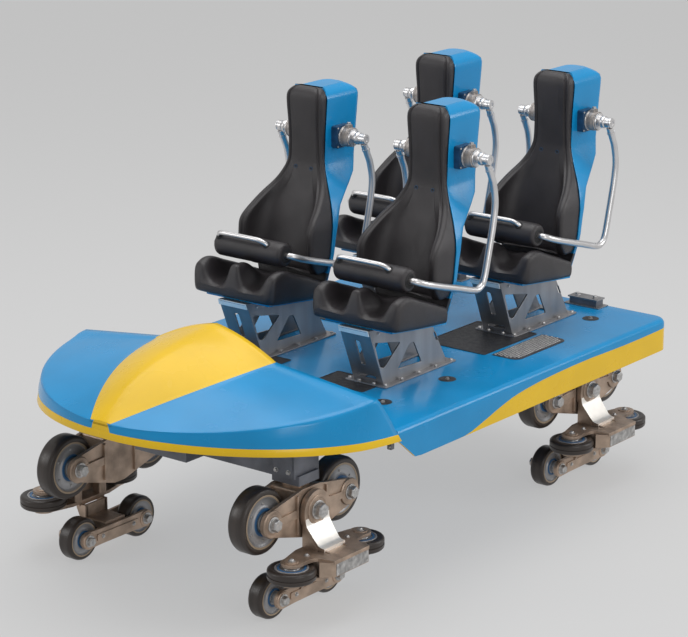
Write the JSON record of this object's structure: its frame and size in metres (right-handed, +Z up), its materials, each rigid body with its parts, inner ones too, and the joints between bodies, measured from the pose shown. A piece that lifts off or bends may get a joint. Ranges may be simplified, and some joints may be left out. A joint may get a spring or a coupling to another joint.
{
  "type": "roller coaster car",
  "caption": "Front roller coaster car with bucket seats and lap bars on swivelling wheel carriers with road, side and up-stop wheels.",
  "frame": {"origin": "on the floor under the middle of the car, which stands on its up-stop wheels", "axes": "nose to -Y, the car's left to +X, +Z up"},
  "size_m": [1.9, 3.4, 2.13],
  "materials": {
    "blue_panel": "gloss",
    "frame": "satin",
    "bronze_casting": "satin metallic",
    "bright_steel": "brushed",
    "chrome": "polished",
    "foam": "matt skin",
    "wheel": "satin"
  },
  "bodies": {
    "car": {"chassis_frame": "frame", "deck": "blue_panel", "nose": "blue_panel", "pedestal_front_left": "bright_steel", "seat_shell_front_left": "blue_panel", "seat_pad_front_left": "foam", "back_pad_front_left": "foam", "pedestal_rear_left": "bright_steel", "seat_shell_rear_left": "blue_panel", "seat_pad_rear_left": "foam", "back_pad_rear_left": "foam", "pedestal_front_right": "bright_steel", "seat_shell_front_right": "blue_panel", "seat_pad_front_right": "foam", "back_pad_front_right": "foam", "pedestal_rear_right": "bright_steel", "seat_shell_rear_right": "blue_panel", "seat_pad_rear_right": "foam", "back_pad_rear_right": "foam"},
    "lap_bar_front_left": {"lap_frame_front_left": "chrome", "lap_roll_front_left": "foam"},
    "carrier_front_left": {"rocker_front_left": "bronze_casting", "hanger_front_left": "bronze_casting"},
    "road_wheel_front_left_front": {"road_wheel_front_left_front": "wheel"},
    "road_wheel_front_left_rear": {"road_wheel_front_left_rear": "wheel"},
    "side_wheel_front_left_front": {"side_wheel_front_left_front": "wheel"},
    "side_wheel_front_left_rear": {"side_wheel_front_left_rear": "wheel"},
    "upstop_wheel_front_left_front": {"upstop_wheel_front_left_front": "wheel"},
    "upstop_wheel_front_left_rear": {"upstop_wheel_front_left_rear": "wheel"},
    "lap_bar_rear_left": {"lap_frame_rear_left": "chrome", "lap_roll_rear_left": "foam"},
    "carrier_rear_left": {"rocker_rear_left": "bronze_casting", "hanger_rear_left": "bronze_casting"},
    "road_wheel_rear_left_front": {"road_wheel_rear_left_front": "wheel"},
    "road_wheel_rear_left_rear": {"road_wheel_rear_left_rear": "wheel"},
    "side_wheel_rear_left_front": {"side_wheel_rear_left_front": "wheel"},
    "side_wheel_rear_left_rear": {"side_wheel_rear_left_rear": "wheel"},
    "upstop_wheel_rear_left_front": {"upstop_wheel_rear_left_front": "wheel"},
    "upstop_wheel_rear_left_rear": {"upstop_wheel_rear_left_rear": "wheel"},
    "lap_bar_front_right": {"lap_frame_front_right": "chrome", "lap_roll_front_right": "foam"},
    "carrier_front_right": {"rocker_front_right": "bronze_casting", "hanger_front_right": "bronze_casting"},
    "road_wheel_front_right_front": {"road_wheel_front_right_front": "wheel"},
    "road_wheel_front_right_rear": {"road_wheel_front_right_rear": "wheel"},
    "side_wheel_front_right_front": {"side_wheel_front_right_front": "wheel"},
    "side_wheel_front_right_rear": {"side_wheel_front_right_rear": "wheel"},
    "upstop_wheel_front_right_front": {"upstop_wheel_front_right_front": "wheel"},
    "upstop_wheel_front_right_rear": {"upstop_wheel_front_right_rear": "wheel"},
    "lap_bar_rear_right": {"lap_frame_rear_right": "chrome", "lap_roll_rear_right": "foam"},
    "carrier_rear_right": {"rocker_rear_right": "bronze_casting", "hanger_rear_right": "bronze_casting"},
    "road_wheel_rear_right_front": {"road_wheel_rear_right_front": "wheel"},
    "road_wheel_rear_right_rear": {"road_wheel_rear_right_rear": "wheel"},
    "side_wheel_rear_right_front": {"side_wheel_rear_right_front": "wheel"},
    "side_wheel_rear_right_rear": {"side_wheel_rear_right_rear": "wheel"},
    "upstop_wheel_rear_right_front": {"upstop_wheel_rear_right_front": "wheel"},
    "upstop_wheel_rear_right_rear": {"upstop_wheel_rear_right_rear": "wheel"}
  },
  "joints": [
    {"name": "lap_bar_front_left_lift", "type": "hinge", "parent": "car", "child": "lap_bar_front_left", "pos_m": [0.3817, 0.389, 1.875], "axis": [-1, 0, 0], "range_deg": [0, 75]},
    {"name": "carrier_front_left_swivel", "type": "hinge", "parent": "car", "child": "carrier_front_left", "pos_m": [0.6, -1.04, 0.49749], "axis": [0, 0, 1], "range_deg": [-5, 5]},
    {"name": "road_wheel_front_left_front_spin", "type": "hinge", "parent": "carrier_front_left", "child": "road_wheel_front_left_front", "pos_m": [0.6, -1.322, 0.49749], "axis": [1, 0, 0], "continuous": true},
    {"name": "road_wheel_front_left_rear_spin", "type": "hinge", "parent": "carrier_front_left", "child": "road_wheel_front_left_rear", "pos_m": [0.6, -0.758, 0.49749], "axis": [1, 0, 0], "continuous": true},
    {"name": "side_wheel_front_left_front_spin", "type": "hinge", "parent": "carrier_front_left", "child": "side_wheel_front_left_front", "pos_m": [0.7815, -1.2935, 0.27549], "axis": [0, 0, 1], "continuous": true},
    {"name": "side_wheel_front_left_rear_spin", "type": "hinge", "parent": "carrier_front_left", "child": "side_wheel_front_left_rear", "pos_m": [0.7815, -0.7865, 0.27549], "axis": [0, 0, 1], "continuous": true},
    {"name": "upstop_wheel_front_left_front_spin", "type": "hinge", "parent": "carrier_front_left", "child": "upstop_wheel_front_left_front", "pos_m": [0.6, -1.245, 0.10509], "axis": [1, 0, 0], "continuous": true},
    {"name": "upstop_wheel_front_left_rear_spin", "type": "hinge", "parent": "carrier_front_left", "child": "upstop_wheel_front_left_rear", "pos_m": [0.6, -0.835, 0.10509], "axis": [1, 0, 0], "continuous": true},
    {"name": "lap_bar_rear_left_lift", "type": "hinge", "parent": "car", "child": "lap_bar_rear_left", "pos_m": [0.3817, 1.486, 1.875], "axis": [-1, 0, 0], "range_deg": [0, 75]},
    {"name": "carrier_rear_left_swivel", "type": "hinge", "parent": "car", "child": "carrier_rear_left", "pos_m": [0.6, 1.256, 0.49749], "axis": [0, 0, 1], "range_deg": [-5, 5]},
    {"name": "road_wheel_rear_left_front_spin", "type": "hinge", "parent": "carrier_rear_left", "child": "road_wheel_rear_left_front", "pos_m": [0.6, 0.974, 0.49749], "axis": [1, 0, 0], "continuous": true},
    {"name": "road_wheel_rear_left_rear_spin", "type": "hinge", "parent": "carrier_rear_left", "child": "road_wheel_rear_left_rear", "pos_m": [0.6, 1.538, 0.49749], "axis": [1, 0, 0], "continuous": true},
    {"name": "side_wheel_rear_left_front_spin", "type": "hinge", "parent": "carrier_rear_left", "child": "side_wheel_rear_left_front", "pos_m": [0.7815, 1.0025, 0.27549], "axis": [0, 0, 1], "continuous": true},
    {"name": "side_wheel_rear_left_rear_spin", "type": "hinge", "parent": "carrier_rear_left", "child": "side_wheel_rear_left_rear", "pos_m": [0.7815, 1.5095, 0.27549], "axis": [0, 0, 1], "continuous": true},
    {"name": "upstop_wheel_rear_left_front_spin", "type": "hinge", "parent": "carrier_rear_left", "child": "upstop_wheel_rear_left_front", "pos_m": [0.6, 1.051, 0.10509], "axis": [1, 0, 0], "continuous": true},
    {"name": "upstop_wheel_rear_left_rear_spin", "type": "hinge", "parent": "carrier_rear_left", "child": "upstop_wheel_rear_left_rear", "pos_m": [0.6, 1.461, 0.10509], "axis": [1, 0, 0], "continuous": true},
    {"name": "lap_bar_front_right_lift", "type": "hinge", "parent": "car", "child": "lap_bar_front_right", "pos_m": [-0.3817, 0.389, 1.875], "axis": [-1, 0, 0], "range_deg": [0, 75]},
    {"name": "carrier_front_right_swivel", "type": "hinge", "parent": "car", "child": "carrier_front_right", "pos_m": [-0.6, -1.04, 0.49749], "axis": [0, 0, 1], "range_deg": [-5, 5]},
    {"name": "road_wheel_front_right_front_spin", "type": "hinge", "parent": "carrier_front_right", "child": "road_wheel_front_right_front", "pos_m": [-0.6, -1.322, 0.49749], "axis": [1, 0, 0], "continuous": true},
    {"name": "road_wheel_front_right_rear_spin", "type": "hinge", "parent": "carrier_front_right", "child": "road_wheel_front_right_rear", "pos_m": [-0.6, -0.758, 0.49749], "axis": [1, 0, 0], "continuous": true},
    {"name": "side_wheel_front_right_front_spin", "type": "hinge", "parent": "carrier_front_right", "child": "side_wheel_front_right_front", "pos_m": [-0.7815, -1.2935, 0.27549], "axis": [0, 0, 1], "continuous": true},
    {"name": "side_wheel_front_right_rear_spin", "type": "hinge", "parent": "carrier_front_right", "child": "side_wheel_front_right_rear", "pos_m": [-0.7815, -0.7865, 0.27549], "axis": [0, 0, 1], "continuous": true},
    {"name": "upstop_wheel_front_right_front_spin", "type": "hinge", "parent": "carrier_front_right", "child": "upstop_wheel_front_right_front", "pos_m": [-0.6, -1.245, 0.10509], "axis": [1, 0, 0], "continuous": true},
    {"name": "upstop_wheel_front_right_rear_spin", "type": "hinge", "parent": "carrier_front_right", "child": "upstop_wheel_front_right_rear", "pos_m": [-0.6, -0.835, 0.10509], "axis": [1, 0, 0], "continuous": true},
    {"name": "lap_bar_rear_right_lift", "type": "hinge", "parent": "car", "child": "lap_bar_rear_right", "pos_m": [-0.3817, 1.486, 1.875], "axis": [-1, 0, 0], "range_deg": [0, 75]},
    {"name": "carrier_rear_right_swivel", "type": "hinge", "parent": "car", "child": "carrier_rear_right", "pos_m": [-0.6, 1.256, 0.49749], "axis": [0, 0, 1], "range_deg": [-5, 5]},
    {"name": "road_wheel_rear_right_front_spin", "type": "hinge", "parent": "carrier_rear_right", "child": "road_wheel_rear_right_front", "pos_m": [-0.6, 0.974, 0.49749], "axis": [1, 0, 0], "continuous": true},
    {"name": "road_wheel_rear_right_rear_spin", "type": "hinge", "parent": "carrier_rear_right", "child": "road_wheel_rear_right_rear", "pos_m": [-0.6, 1.538, 0.49749], "axis": [1, 0, 0], "continuous": true},
    {"name": "side_wheel_rear_right_front_spin", "type": "hinge", "parent": "carrier_rear_right", "child": "side_wheel_rear_right_front", "pos_m": [-0.7815, 1.0025, 0.27549], "axis": [0, 0, 1], "continuous": true},
    {"name": "side_wheel_rear_right_rear_spin", "type": "hinge", "parent": "carrier_rear_right", "child": "side_wheel_rear_right_rear", "pos_m": [-0.7815, 1.5095, 0.27549], "axis": [0, 0, 1], "continuous": true},
    {"name": "upstop_wheel_rear_right_front_spin", "type": "hinge", "parent": "carrier_rear_right", "child": "upstop_wheel_rear_right_front", "pos_m": [-0.6, 1.051, 0.10509], "axis": [1, 0, 0], "continuous": true},
    {"name": "upstop_wheel_rear_right_rear_spin", "type": "hinge", "parent": "carrier_rear_right", "child": "upstop_wheel_rear_right_rear", "pos_m": [-0.6, 1.461, 0.10509], "axis": [1, 0, 0], "continuous": true}
  ]
}
